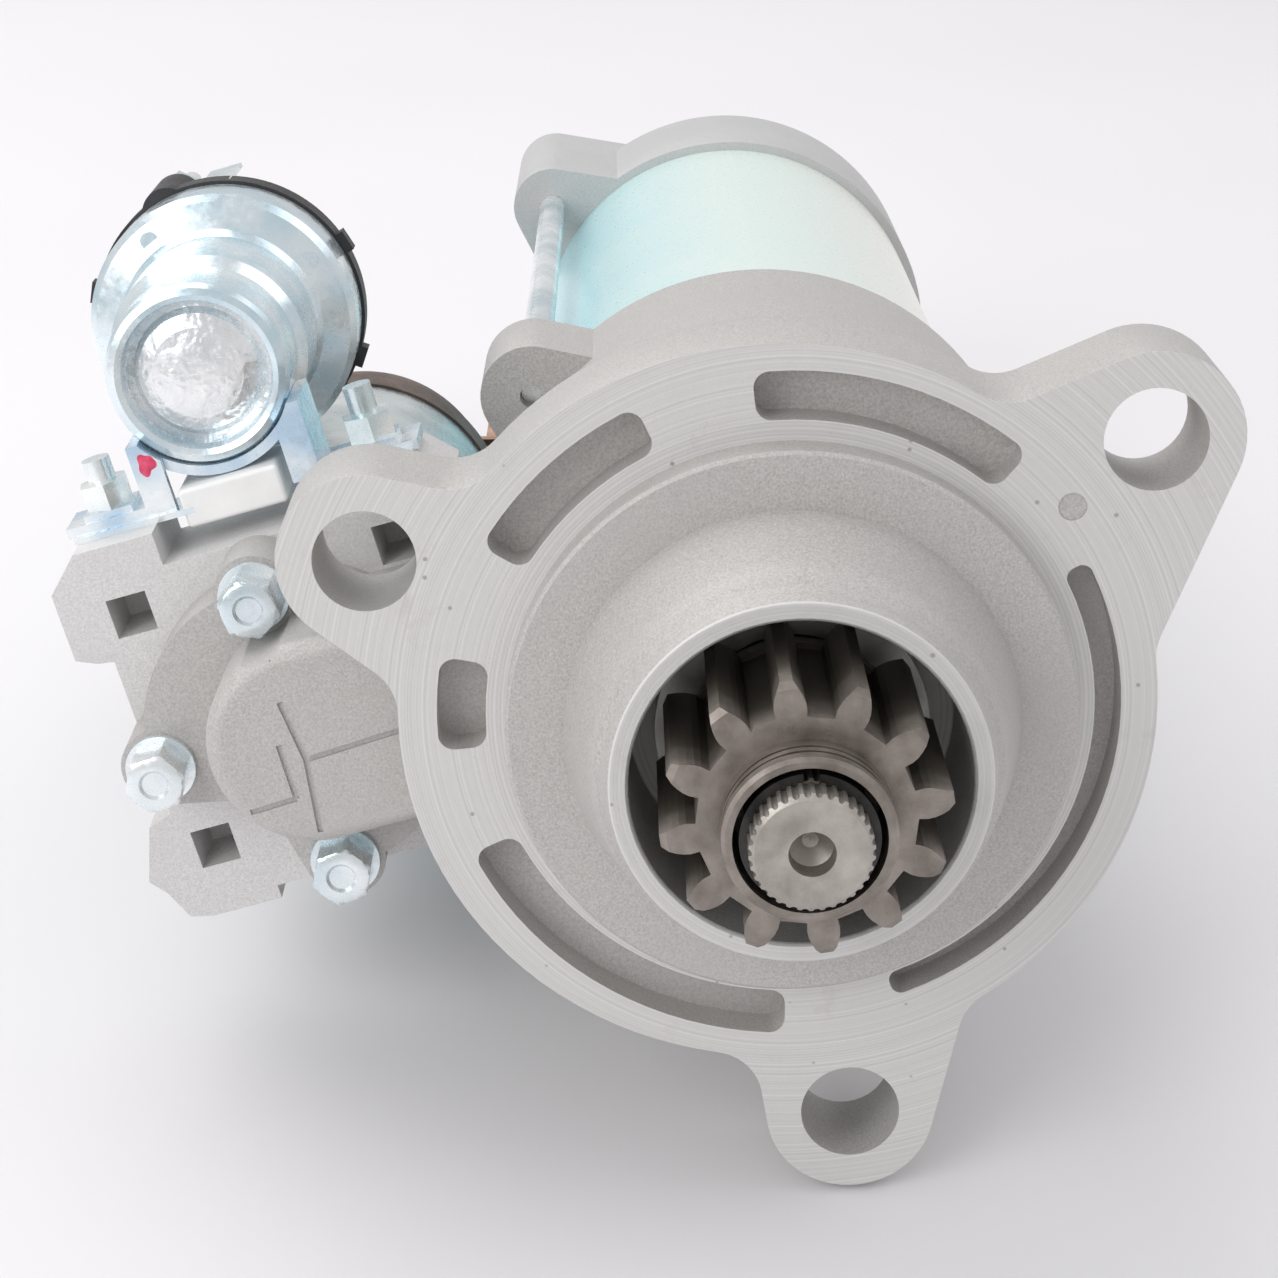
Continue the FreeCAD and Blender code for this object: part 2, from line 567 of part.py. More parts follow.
def flange_bolt(r, x, z, y_head, y_end, flats, washer_r, height):
    """Hex flange bolt along Y whose shank runs from the seat at y_head to y_end."""
    sign = 1.0 if y_end > y_head else -1.0
    y_top = y_head - sign * height
    head = prism(hexagon(flats, x, z), min(y_head, y_top), max(y_head, y_top))
    washer = cyl(washer_r, min(y_head, y_head - sign * 1.4), max(y_head, y_head - sign * 1.4), x, z)
    shank = cyl(r, min(y_head, y_end), max(y_head, y_end), x, z)
    dish = cyl(flats * 0.3, y_top - 0.6, y_top + 0.6, x, z)
    return union([head, washer, shank]).cut(dish)


def through_bolts():
    return [flange_bolt(THROUGH_BOLT_R, *polar(THROUGH_BOLT_CIRCLE, a), COVER_END_Y,
                        THROUGH_BOLT_END_Y, 10.0, 6.6, HEAD_HEIGHT)
            for a in THROUGH_BOLT_ANGLES]


# ---------------------------------------------------------------- solenoid


def solenoid_block():
    """Cast front block of the solenoid: four corner lugs, each with a square pocket."""
    outline = [(-BLOCK_HALF_U, 19.0), (-BLOCK_HALF_U, 31.5), (-30.5, BLOCK_HALF_V), (30.5, BLOCK_HALF_V),
               (BLOCK_HALF_U, 31.5), (BLOCK_HALF_U, 18.0), (29.0, 14.0), (29.0, -14.0),
               (34.5, -18.0), (34.5, -27.0), (30.0, -34.0), (-29.0, -34.0), (-33.0, -33.0),
               (-35.5, -27.5), (-38.0, -24.5), (-34.5, -14.5), (-30.0, -13.0), (-30.0, 17.0), (-33.0, 17.5)]
    block = prism(outline, BLOCK_Y0, BLOCK_Y1)
    waist = [box(-16.0, 16.0, BLOCK_Y0 - 1, BLOCK_Y1 + 1, s * 40.0 - 8.5, s * 40.0 + 8.5) for s in (1, -1)]
    cuts = waist + [cyl(14.0, BLOCK_Y0 - 1, BLOCK_Y1 + 1)]
    for u in (-24.2, 24.2):
        for v in (24.4, -21.0):
            cuts.append(box(u - 3.6, u + 3.6, BLOCK_Y0 - 1, BLOCK_Y0 + 13, v - 3.6, v + 3.6))
    for a in SOL_BOLT_ANGLES:
        cuts.append(cyl(3.0, BLOCK_Y0 - 1, BLOCK_Y0 + 14, *polar(SOL_BOLT_CIRCLE, a)))
    for u in (-FOOT_U, FOOT_U):
        cuts.append(cyl_v(2.5, u, FOOT_Y, 29.5, BLOCK_HALF_V + 1))
    for shape in cuts:
        block = block.cut(shape)
    return to_solenoid(block).cut(cyl(BLOCK_CLEAR_R, BLOCK_Y0 - 1, BLOCK_Y1 + 1))


def cyl_v(r, u, y, v0, v1):
    """A cylinder along the solenoid frame's own upward axis."""
    return Part.makeCylinder(r, v1 - v0, FreeCAD.Vector(u, y, v0), FreeCAD.Vector(0, 0, 1))


def solenoid_bolts():
    bolts = []
    for a in SOL_BOLT_ANGLES:
        x, z = polar(SOL_BOLT_CIRCLE, a)
        bolts.append(to_solenoid(flange_bolt(3.0, x, z, SEAT_Y, 53.0, 9.4, 6.2, 8.5)))
    return bolts


def solenoid_can():
    return to_solenoid(revolved([(14.0, BLOCK_Y1), (CAN_R - 0.8, BLOCK_Y1), (CAN_R, BLOCK_Y1 + 0.8),
                                 (CAN_R, CAN_END_Y), (CAN_R - 2, CAN_END_Y), (CAN_R - 2, BLOCK_Y1 + 3),
                                 (14.0, BLOCK_Y1 + 3)]))


def coil_bobbin():
    return to_solenoid(revolved([(13.6, 65.2), (27.6, 65.2), (27.6, 67.4), (15.0, 67.4), (15.0, 104.8),
                                 (27.6, 104.8), (27.6, 107.0), (13.6, 107.0)]))


def solenoid_core():
    return to_solenoid(revolved([(8.4, 107.4), (13.3, 107.4), (13.3, 116.0), (CAN_R - 2, 116.0),
                                 (CAN_R - 2, 124.0), (3.4, 124.0), (3.4, 116.2), (8.4, 116.2)]))


def plunger():
    body = revolved([(0, 17.6), (5.4, 17.6), (6.2, 18.4), (6.2, 41.0), (12.4, 41.0), (13.2, 41.8),
                     (13.2, 96.0), (8.4, 96.0), (8.4, 86.0), (4.2, 86.0), (4.2, 76.0), (0, 76.0)],
                    SOL_X, SOL_Z)
    eye_y = LEVER_PIVOT_Y - PLUNGER_ARM * math.sin(math.radians(LEVER_HALF_SWING))
    reach = math.hypot(SOL_X, SOL_Z)
    slot = turned(box(reach - 12, reach + 12, eye_y - 4.1, eye_y + 4.1, -3.3, 3.3), LEVER_ANGLE)
    return body.cut(slot)


def contact_bridge():
    """Push rod with the copper contact disc."""
    return to_solenoid(revolved([(0, 84.2), (3.0, 84.2), (3.0, CONTACT_Y), (17.5, CONTACT_Y),
                                 (17.5, CONTACT_Y + 2.2), (3.0, CONTACT_Y + 2.2), (3.0, 164.5), (0, 164.5)]))


def solenoid_cap():
    """Moulded terminal cap with a wall between the two main studs."""
    shell = revolved([(0, 168.0), (24.5, 168.0), (24.5, CAN_END_Y), (CAN_R + 0.6, CAN_END_Y),
                      (CAN_R + 0.6, 158.0), (28.6, 160.0), (27.4, CAP_END_Y - 1), (26.4, CAP_END_Y),
                      (0, CAP_END_Y)])
    wall = box(-1.4, 1.4, CAP_END_Y - 0.5, CAP_END_Y + 12.0, -17.0, 17.0)
    body = union([shell, wall])
    for u in (-TERMINAL_U, TERMINAL_U):
        body = body.cut(cyl(STUD_BODY_R, 160, 180, u, 3.0))
    return to_solenoid(body)


def terminal_studs():
    return [to_solenoid(union([prism(hexagon(13.0, u, 3.0), 163.4, 168.0),
                               cyl(STUD_BODY_R, 167.5, LEAD_Y0, u, 3.0), cyl(STUD_R, 180.0, 193.0, u, 3.0)]))
            for u in (-TERMINAL_U, TERMINAL_U)]


def main_nuts():
    """A large nut holds each stud to the cap, and a smaller one holds the bar on the motor stud."""
    nuts = [(u, CAP_END_Y + 0.1, 15.0, STUD_BODY_R) for u in (-TERMINAL_U, TERMINAL_U)]
    nuts.append((TERMINAL_U, LEAD_Y0 + LEAD_THICK + 0.1, 13.0, STUD_R))
    return [to_solenoid(prism(hexagon(flats, u, 3.0, 30.0), y0, y0 + 6.3).cut(cyl(r, y0 - 1, y0 + 8, u, 3.0)))
            for u, y0, flats, r in nuts]


# ---------------------------------------------------------------- motor lead


def lead_grommet_hole():
    return box(-60.0, -35.0, GROMMET_Y - 4.5, GROMMET_Y + 4.5, LEAD_Z0 - 2.5, LEAD_Z1 + 2.5)


def lead_grommet():
    block = box(-51.0, -41.0, GROMMET_Y - 4.5, GROMMET_Y + 4.5, LEAD_Z0 - 2.5, LEAD_Z1 + 2.5)
    return block.cut(box(-60, -30, GROMMET_Y - 1.8, GROMMET_Y + 1.8, LEAD_Z0, LEAD_Z1))


def motor_lead():
    """Copper bar from the solenoid's motor stud, along the yoke and in through the rear cover."""
    stud = to_solenoid(cyl(STUD_R, 170, 200, TERMINAL_U, 3.0))
    pad_x = stud.CenterOfMass.x
    pad_z = stud.CenterOfMass.z
    pad = cyl(7.5, LEAD_Y0, LEAD_Y0 + LEAD_THICK, pad_x, pad_z)
    foot = box(pad_x, LEAD_X1, LEAD_Y0, LEAD_Y0 + LEAD_THICK, LEAD_Z0, LEAD_Z1)
    run = box(LEAD_X0, LEAD_X1, LEAD_Y0, GROMMET_Y + 1.8, LEAD_Z0, LEAD_Z1)
    tail = box(LEAD_X0, -36.0, GROMMET_Y - 1.8, GROMMET_Y + 1.8, LEAD_Z0, LEAD_Z1)
    return union([pad, foot, run, tail]).cut(stud)


# ---------------------------------------------------------------- relay


def on_relay(shape):
    out = shape.copy()
    out.translate(FreeCAD.Vector(RELAY_U, 0, RELAY_V))
    return to_solenoid(out)


def relay_can():
    """Deep-drawn zinc can: rolled front lip, shoulder, and a wide rim crimped over the base."""
    f, rim = RELAY_FRONT_Y, RELAY_RIM_Y
    shell = revolved([
        (12.7, f + 2.4), (13.2, f + 0.5), (14.2, f), (15.4, f + 0.4), (RELAY_R, f + 1.6),
        (RELAY_R, f + 15), (17.6, f + 17), (17.6, rim - 3), (18.6, rim - 1.2), (RELAY_RIM_R - 1.2, rim),
        (RELAY_RIM_R, rim + 1.2), (RELAY_RIM_R, rim + 11), (RELAY_RIM_R - 1.2, rim + 11),
        (RELAY_RIM_R - 1.2, rim + 1.6), (16.2, rim + 1.6), (16.2, f + 18), (14.8, f + 16),
        (14.8, f + 5.2), (12.7, f + 5.2)])
    dimples = [cyl(1.7, rim - 0.8, rim + 0.5, *polar(20.6, a)) for a in (22.0, 112.0, 202.0, 292.0)]
    return on_relay(union([shell] + dimples))


def relay_plug():
    """Domed blanking plug pressed into the can's mouth."""
    f = RELAY_FRONT_Y
    return on_relay(revolved([(0, f + 1.0), (4.0, f + 1.2), (8.0, f + 1.9), (10.4, f + 3.0), (11.4, f + 4.2),
                              (12.7, f + 4.6), (12.7, f + 5.2), (0, f + 5.2)]))


def relay_base():
    """Black moulded base: a thin disc behind the can's rim, a contact chamber and a lug at each stud."""
    y0 = RELAY_RIM_Y + 11.2
    base = revolved([(0, y0 - 1.2), (RELAY_RIM_R - 1.8, y0 - 1.2), (RELAY_RIM_R - 1.8, y0),
                     (25.2, y0), (25.2, y0 + 5.0), (24.6, y0 + 5.8), (22.6, y0 + 5.8),
                     (22.0, RELAY_SEAT_Y), (0, RELAY_SEAT_Y)])
    tabs = [turned(box(22.0, 26.4, y0, y0 + 3.4, -2.0, 2.0), a) for a in RELAY_CORNERS]
    lugs = [cyl(4.8, y0, RELAY_SEAT_Y, u, v) for u, v in RELAY_STUDS]
    body = union([base] + tabs + lugs).cut(cyl(20.6, y0 - 2, RELAY_SEAT_Y - 3.0))
    return on_relay(body.cut(Part.makeCompound(relay_stud_shapes() + relay_tab_blades())))


def relay_stud_shapes():
    """Each moulded-in stud has a blade towards the middle that the contact bar lands on."""
    y0 = RELAY_SEAT_Y - 5.6
    shapes = []
    for u, v in RELAY_STUDS:
        reach = math.hypot(u, v)
        blade = turned(box(12.0, reach, y0, y0 + 2.6, -2.9, 2.9), math.degrees(math.atan2(v, u)))
        body = cyl(2.5, y0, RELAY_SEAT_Y + 4.8, u, v)
        shapes.append(union([blade, body, cyl(2.0, RELAY_SEAT_Y + 4.5, RELAY_SEAT_Y + 18.0, u, v)]))
    return shapes


def relay_stud_nuts():
    y0 = RELAY_SEAT_Y + 0.1
    return [on_relay(prism(hexagon(8.0, u, v, 20.0), y0, y0 + 4.6).cut(cyl(2.5, y0 - 1, y0 + 6, u, v)))
            for u, v in RELAY_STUDS]


def relay_tab_blades():
    """Two flat push-on tabs moulded into the relay's base."""
    y0 = RELAY_RIM_Y + 13.0
    return [box(u - 3.1, u + 3.1, y0, y0 + 17.0, v - 0.4, v + 0.4) for u, v in RELAY_TABS]


def relay_coil():
    return on_relay(tube(14.2, 7.6, RELAY_FRONT_Y + 18.2, RELAY_RIM_Y + 0.8))


def relay_core():
    y0 = RELAY_RIM_Y - 4.0
    return on_relay(revolved([(1.7, y0), (7.0, y0), (7.0, RELAY_RIM_Y + 1.8), (23.2, RELAY_RIM_Y + 1.8),
                              (23.2, RELAY_RIM_Y + 3.4), (1.7, RELAY_RIM_Y + 3.4)]))


def relay_plunger():
    y0 = RELAY_FRONT_Y + 8.0
    return on_relay(revolved([(0, y0), (7.0, y0), (7.0, RELAY_RIM_Y - 7.0), (1.4, RELAY_RIM_Y - 7.0),
                              (1.4, RELAY_RIM_Y + 18.6), (0, RELAY_RIM_Y + 18.6)]))


def relay_contact():
    """Copper bar that bridges the two stud heads."""
    y0 = RELAY_RIM_Y + 15.6
    bar = box(-18.5, 18.5, y0, y0 + 1.6, -3.6, 3.6).cut(cyl(1.4, y0 - 1, y0 + 3))
    u, v = RELAY_STUDS[0]
    return on_relay(turned(bar, math.degrees(math.atan2(v, u))))


def relay_bracket():
    """Zinc saddle under the relay can; each leg has a front gusset and a bolted foot."""
    y0, y1 = FOOT_Y - 5.0, FOOT_Y + 11.0
    inner_r = RELAY_R + 0.05
    outer_r = inner_r + BRACKET_THICK
    saddle = tube(outer_r, inner_r, y0 + 2, y1, RELAY_U, RELAY_V)
    pieces = [saddle.cut(box(-40, 40, y0 - 1, y1 + 1, LEG_TOP_V, RELAY_V + 40))]
    half = math.sqrt(outer_r ** 2 - (RELAY_V - LEG_TOP_V) ** 2)
    for sign in (-1, 1):
        base = foot_base(sign)
        side = RELAY_U + sign * half
        inner = side - sign * BRACKET_THICK
        heel = side - sign * 5.2
        leg = box(min(side, inner), max(side, inner), y0, y1, base, LEG_TOP_V)
        gusset = box(min(side, heel), max(side, heel), y0, y0 + BRACKET_THICK, base, LEG_TOP_V)
        foot = box(min(inner, sign * 32.0), max(inner, sign * 32.0), y0, y0 + 11.0, base, base + FOOT_THICK)
        pieces += [leg, gusset, foot]
    body = union(pieces).cut(cyl(inner_r, 0, 100, RELAY_U, RELAY_V))
    for sign in (-1, 1):
        body = body.cut(cyl_v(2.5, sign * FOOT_U, FOOT_Y, 30.0, 50.0))
    return to_solenoid(body)


def foot_base(sign):
    """Height of a foot's underside: the left foot stands on the link bar, the right one on the block."""
    return BLOCK_HALF_V + (LINK_THICK if sign < 0 else 0.0)


def foot_screws():
    """Studs with hex nuts that hold the bracket's feet and the link bar."""
    out = []
    for sign in (-1, 1):
        u = sign * FOOT_U
        top = BLOCK_HALF_V + FOOT_THICK
        out.append(to_solenoid(cyl_v(2.5, u, FOOT_Y, 30.0, top + 11.0)))
    return out


def foot_nuts():
    out = []
    for sign in (-1, 1):
        base = foot_base(sign) + FOOT_THICK + 1.2
        nut = prism(hexagon(8.0, 0.0, 0.0, 20.0), 0.0, 4.6)
        nut.rotate(ORIGIN, FreeCAD.Vector(1, 0, 0), 90)
        nut.translate(FreeCAD.Vector(sign * FOOT_U, FOOT_Y, base))
        out.append(to_solenoid(nut.cut(cyl_v(2.5, sign * FOOT_U, FOOT_Y, base - 2, base + 8))))
    return out


def foot_washers():
    out = []
    for sign in (-1, 1):
        u = sign * FOOT_U
        base = foot_base(sign) + FOOT_THICK
        plate = box(u - 4.4, u + 4.4, FOOT_Y - 4.4, FOOT_Y + 4.4, base, base + 1.2)
        out.append(to_solenoid(plate.cut(cyl_v(2.5, u, FOOT_Y, base - 1, base + 3))))
    return out


def link_bar():
    """Flat bar clamped under the left foot; its end is gripped in the white sleeve."""
    flat = box(-31.0, SLEEVE_U0 + 2.0, FOOT_Y - 6.0, FOOT_Y + 4.0, BLOCK_HALF_V, BLOCK_HALF_V + LINK_THICK)
    return to_solenoid(flat.cut(cyl_v(2.5, -FOOT_U, FOOT_Y, BLOCK_HALF_V - 1, BLOCK_HALF_V + 3)))


def lead_sleeve():
    """White insulating sleeve between the bracket's legs."""
    block = box(SLEEVE_U0, SLEEVE_U1, FOOT_Y - 6.0, FOOT_Y + 8.0, 34.9, 41.9)
    slot = box(SLEEVE_U0 - 1, SLEEVE_U0 + 2.0, FOOT_Y - 6.1, FOOT_Y + 4.0, BLOCK_HALF_V,
               BLOCK_HALF_V + LINK_THICK)
    return to_solenoid(block.makeFillet(0.8, block.Edges).cut(slot))


def build():
    os.makedirs("parts", exist_ok=True)
    export("drive_end_housing", drive_end_housing())
    export("drive_bush", tube(19.5, PINION_SLEEVE_R + 0.06, -1.0, 12.0))
    export("nose_seal", tube(22.0, PINION_SLEEVE_R + 0.35, -6.0, -1.0))
    export("lever_pivot_pin", pivot_pin_shape())
    export("ring_gear", ring_gear())
    export("clutch_bush", tube(HOUSING_BORE_R, 33.06, 52.0, 64.0))
    export("centre_plate", tube(HOUSING_BORE_R, 12.0, 100.0, HOUSING_END_Y))
    export("front_armature_bush", tube(12.0, 8.06, 99.4, 109.0))
    export("yoke", tube(YOKE_R, YOKE_BORE_R, HOUSING_END_Y, YOKE_END_Y))
    export("field_magnets", field_magnets())
    export("brush_holder", brush_holder())
    export("brushes", *brushes())
    export("brush_springs", *brush_springs())
    export("rear_cover", rear_cover())
    export("rear_armature_bush", tube(12.0, 8.06, 304.0, 314.0))
    export("through_bolts", *through_bolts())

    export("armature_shaft", armature_shaft())
    export("armature_core", armature_core())
    export("armature_windings", armature_windings())
    export("commutator", commutator())

    export("planet_carrier", planet_carrier())
    export("planet_pins", *[cyl(4.0, 75.0, 99.0, *polar(PLANET_ORBIT_R, planet_angle(i)))
                            for i in range(PLANET_COUNT)])
    export("clutch_rollers", *[cyl(2.95, 52.0, 71.0, *polar(17.0, 60.0 * i)) for i in range(6)])
    for i in range(PLANET_COUNT):
        export("planet_gear_%d" % (i + 1), planet_gear(i))
    export("output_shaft", output_shaft())
    export("stop_ring", stop_ring())
    export("pinion", pinion())
    export("shift_collar", shift_collar())
    export("shift_lever", shift_lever())

    export("solenoid_block", solenoid_block())
    export("solenoid_bolts", *solenoid_bolts())
    export("solenoid_can", solenoid_can())
    export("coil_bobbin", coil_bobbin())
    export("solenoid_coil", to_solenoid(tube(27.0, 15.1, 67.5, 104.7)))
    export("solenoid_core", solenoid_core())
    export("plunger", plunger())
    export("return_spring", spring(6.3, 0.8, 5, 87.0, 105.0, SOL_X, SOL_Z))
    export("contact_bridge", contact_bridge())
    export("solenoid_cap", solenoid_cap())
    export("terminal_studs", *terminal_studs())
    export("terminal_nuts", *main_nuts())
    export("motor_lead", motor_lead())
    export("lead_grommet", lead_grommet())

    export("relay_can", relay_can())
    export("relay_plug", relay_plug())
    export("relay_base", relay_base())
    export("relay_studs", *[on_relay(shape) for shape in relay_stud_shapes()])
    export("relay_tabs", *[on_relay(blade) for blade in relay_tab_blades()])
    export("relay_coil", relay_coil())
    export("relay_core", relay_core())
    export("relay_plunger", relay_plunger())
    export("relay_contact", relay_contact())
    export("relay_bracket", relay_bracket())
    export("foot_screws", *foot_screws())
    export("small_nuts", *(relay_stud_nuts() + foot_nuts()))
    export("foot_washers", *foot_washers())
    export("link_bar", link_bar())
    export("lead_sleeve", lead_sleeve())


build()
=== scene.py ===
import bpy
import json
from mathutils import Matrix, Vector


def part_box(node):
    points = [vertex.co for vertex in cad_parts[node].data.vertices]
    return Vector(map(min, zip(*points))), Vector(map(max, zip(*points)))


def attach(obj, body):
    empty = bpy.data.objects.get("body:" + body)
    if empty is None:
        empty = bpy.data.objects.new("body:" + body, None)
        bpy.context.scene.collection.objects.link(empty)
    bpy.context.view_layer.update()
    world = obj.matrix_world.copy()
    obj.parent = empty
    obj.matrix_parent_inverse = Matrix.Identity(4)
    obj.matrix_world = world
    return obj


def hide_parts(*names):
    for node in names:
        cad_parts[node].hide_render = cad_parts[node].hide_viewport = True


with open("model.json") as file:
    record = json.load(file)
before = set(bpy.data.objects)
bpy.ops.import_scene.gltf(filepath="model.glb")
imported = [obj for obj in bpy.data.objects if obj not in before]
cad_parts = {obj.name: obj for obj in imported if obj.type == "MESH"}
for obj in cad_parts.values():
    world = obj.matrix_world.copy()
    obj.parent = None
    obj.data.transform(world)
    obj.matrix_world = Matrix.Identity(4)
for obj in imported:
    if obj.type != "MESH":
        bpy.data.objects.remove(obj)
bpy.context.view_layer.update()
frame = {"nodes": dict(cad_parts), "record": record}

import json
import math

import bmesh
import bpy
from mathutils import Vector

# Looks for the starter motor. Metres, in the CAD model's frame: the flange's face is the plane
# Y = 0, the pinion points along -Y, +Z is up.

MM = 0.001
ROOT = "motor_frame"
NODES = frame["nodes"]

# The three castings whose edges are rounded a little.
EDGED = ("drive_end_housing", "solenoid_block", "rear_cover")
WELD_GAP = 0.002 * MM
EDGE_WIDTH = 0.35 * MM
EDGE_ANGLE = math.radians(42)

# Turned surfaces of the housing: the flange's face at Y = 0 and the snout's rim.
FACE_BAND = 0.12 * MM
RIM_Y = -30.3 * MM

# Bolts. A head is its width across the flats, its collar's radius, its height with the collar
# and the collar's height.
BOLT_HEADS = {
    "solenoid_bolts": (9.4 * MM, 6.2 * MM, 8.5 * MM, 1.2 * MM),
    "through_bolts": (10.0 * MM, 6.6 * MM, 6.0 * MM, 1.4 * MM),
}
SOLENOID_THREAD_START = 22.5 * MM
THROUGH_THREAD_LENGTH = 18 * MM
BOLT_R = 3.0 * MM
BOLT_PITCH = 1.0 * MM
CHAMFER_STEPS = tuple(step * MM for step in (0.0, 0.25, 0.5, 0.8, 1.1, 1.5))
DISH_DEPTH = 0.45 * MM

# Paint dab, measured from the white sleeve's low corner.
DAB_OFFSET_X = -5.3 * MM
DAB_OFFSET_Z = 11.2 * MM
DAB_R = 1.55 * MM
DAB_HEIGHT = 0.28 * MM

# Stage. The floor is tilted so that the lower ear and the rear cover rest on it.
REST_TILT = math.radians(7.4)
REST_Y = 10 * MM
FLOOR_REACH = 2.4
WORLD_STRENGTH = 0.66
LIGHTS = (
    ("key", (-0.60, 0.45, 1.15), 1.2, 8.0, (1.0, 0.99, 0.98)),
    ("fill", (0.75, 0.10, 1.00), 1.0, 2.4, (0.97, 0.98, 1.0)),
    ("front", (-0.75, -0.75, 0.50), 0.8, 5.0, (1.0, 1.0, 1.0)),
)
LIGHT_AIM = Vector((-0.02, 0.08, 0.0))
CAMERA_PLACE = (-27.70 * MM, -439.27 * MM, 165.94 * MM)
CAMERA_AIM = Vector((0.0069, 0.9444, -0.3287))
CAMERA_LENS = 81.69
CAMERA_SENSOR = 36.0


# ---------------------------------------------------------------- material helpers
class Shader:
    """A Principled material and the few node recipes that all the surfaces here share."""

    def __init__(self, name, color, metallic, roughness):
        self.material = bpy.data.materials.new(name)
        self.material.use_nodes = True
        self.tree = self.material.node_tree
        self.bsdf = self.tree.nodes["Principled BSDF"]
        self.bsdf.inputs["Base Color"].default_value = (*color, 1.0)
        self.bsdf.inputs["Metallic"].default_value = metallic
        self.bsdf.inputs["Roughness"].default_value = roughness
        self.place = self.node("ShaderNodeTexCoord").outputs["Object"]

    def node(self, kind, **settings):
        made = self.tree.nodes.new(kind)
        for key, value in settings.items():
            setattr(made, key, value)
        return made

    def link(self, source, target):
        self.tree.links.new(source, target)

    def stretched(self, scale):
        mapping = self.node("ShaderNodeMapping")
        mapping.inputs["Scale"].default_value = scale
        self.link(self.place, mapping.inputs["Vector"])
        return mapping.outputs["Vector"]

    def noise(self, size, detail=4.0, rough=0.55, stretch=None):
        """Noise whose features are about size metres across."""
        made = self.node("ShaderNodeTexNoise")
        made.inputs["Scale"].default_value = 1.0 / size
        made.inputs["Detail"].default_value = detail
        made.inputs["Roughness"].default_value = rough
        self.link(self.stretched(stretch) if stretch else self.place, made.inputs["Vector"])
        return made.outputs["Fac"]

    def cells(self, size):
        made = self.node("ShaderNodeTexVoronoi")
        made.inputs["Scale"].default_value = 1.0 / size
        self.link(self.place, made.inputs["Vector"])
        return made.outputs["Distance"]

    def ramp(self, value, low, high, dark, light):
        """Maps value from low..high to a colour from dark to light."""
        made = self.node("ShaderNodeValToRGB")
        first, last = made.color_ramp.elements
        first.position, last.position = low, high
        first.color, last.color = (*dark, 1.0), (*light, 1.0)
        self.link(value, made.inputs["Fac"])
        return made.outputs["Color"]

    def math(self, operation, a, b=None):
        made = self.node("ShaderNodeMath", operation=operation)
        for slot, value in enumerate((a, b)):
            if value is None:
                continue
            if isinstance(value, (int, float)):
                made.inputs[slot].default_value = value
            else:
                self.link(value, made.inputs[slot])
        return made.outputs["Value"]

    def span(self, value, low, high):
        made = self.node("ShaderNodeMapRange")
        made.inputs["From Min"].default_value = low
        made.inputs["From Max"].default_value = high
        self.link(value, made.inputs["Value"])
        return made.outputs["Result"]

    def coordinate(self, axis):
        split = self.node("ShaderNodeSeparateXYZ")
        self.link(self.place, split.inputs["Vector"])
        return split.outputs[axis]

    def radius(self):
        """Distance from the motor's axis."""
        flat = self.node("ShaderNodeVectorMath", operation="MULTIPLY")
        flat.inputs[1].default_value = (1.0, 0.0, 1.0)
        self.link(self.place, flat.inputs[0])
        size = self.node("ShaderNodeVectorMath", operation="LENGTH")
        self.link(flat.outputs["Vector"], size.inputs[0])
        return size.outputs["Value"]

    def rings(self, pitch):
        """Fine uneven rings about the motor's axis, as a turning tool leaves them."""
        spot = self.node("ShaderNodeCombineXYZ")
        self.link(self.radius(), spot.inputs["X"])
        made = self.node("ShaderNodeTexNoise")
        made.inputs["Scale"].default_value = 1.0 / pitch
        made.inputs["Detail"].default_value = 2.0
        self.link(spot.outputs["Vector"], made.inputs["Vector"])
        return made.outputs["Fac"]

    def blend(self, factor, a, b):
        made = self.node("ShaderNodeMix", data_type="RGBA")
        self.link(factor, made.inputs["Factor"])
        for slot, value in ((6, a), (7, b)):
            if isinstance(value, tuple):
                made.inputs[slot].default_value = (*value, 1.0)
            else:
                self.link(value, made.inputs[slot])
        return made.outputs[2]

    def color(self, source):
        self.link(source, self.bsdf.inputs["Base Color"])

    def roughness(self, value, low, high, rough_low, rough_high):
        made = self.node("ShaderNodeMapRange")
        made.inputs["From Min"].default_value = low
        made.inputs["From Max"].default_value = high
        made.inputs["To Min"].default_value = rough_low
        made.inputs["To Max"].default_value = rough_high
        self.link(value, made.inputs["Value"])
        self.link(made.outputs["Result"], self.bsdf.inputs["Roughness"])

    def bump(self, height, depth):
        """Adds one more layer of relief, depth metres deep, over the layers already there."""
        made = self.node("ShaderNodeBump")
        made.inputs["Distance"].default_value = depth
        made.inputs["Strength"].default_value = 1.0
        self.link(height, made.inputs["Height"])
        normal = self.bsdf.inputs["Normal"]
        if normal.is_linked:
            self.link(normal.links[0].from_socket, made.inputs["Normal"])
        self.link(made.outputs["Normal"], normal)


# ---------------------------------------------------------------- materials
def cast_metal(name, dark, light):
    """Sand-cast aluminium: fine sandy grain over a coarser unevenness, with faint stains."""
    s = Shader(name, light, 0.30, 0.55)
    fine = s.noise(0.42 * MM, 4.0, 0.7)
    stain = s.noise(26 * MM, 4.0)
    speckled = s.ramp(fine, 0.30, 0.66, dark, light)
    s.color(s.blend(s.span(stain, 0.45, 1.05), speckled, tuple(0.80 * c for c in light)))
    s.roughness(fine, 0.3, 0.7, 0.44, 0.66)
    s.bump(fine, 0.09 * MM)
    s.bump(s.noise(3.4 * MM, 2.0), 0.12 * MM)
    return s


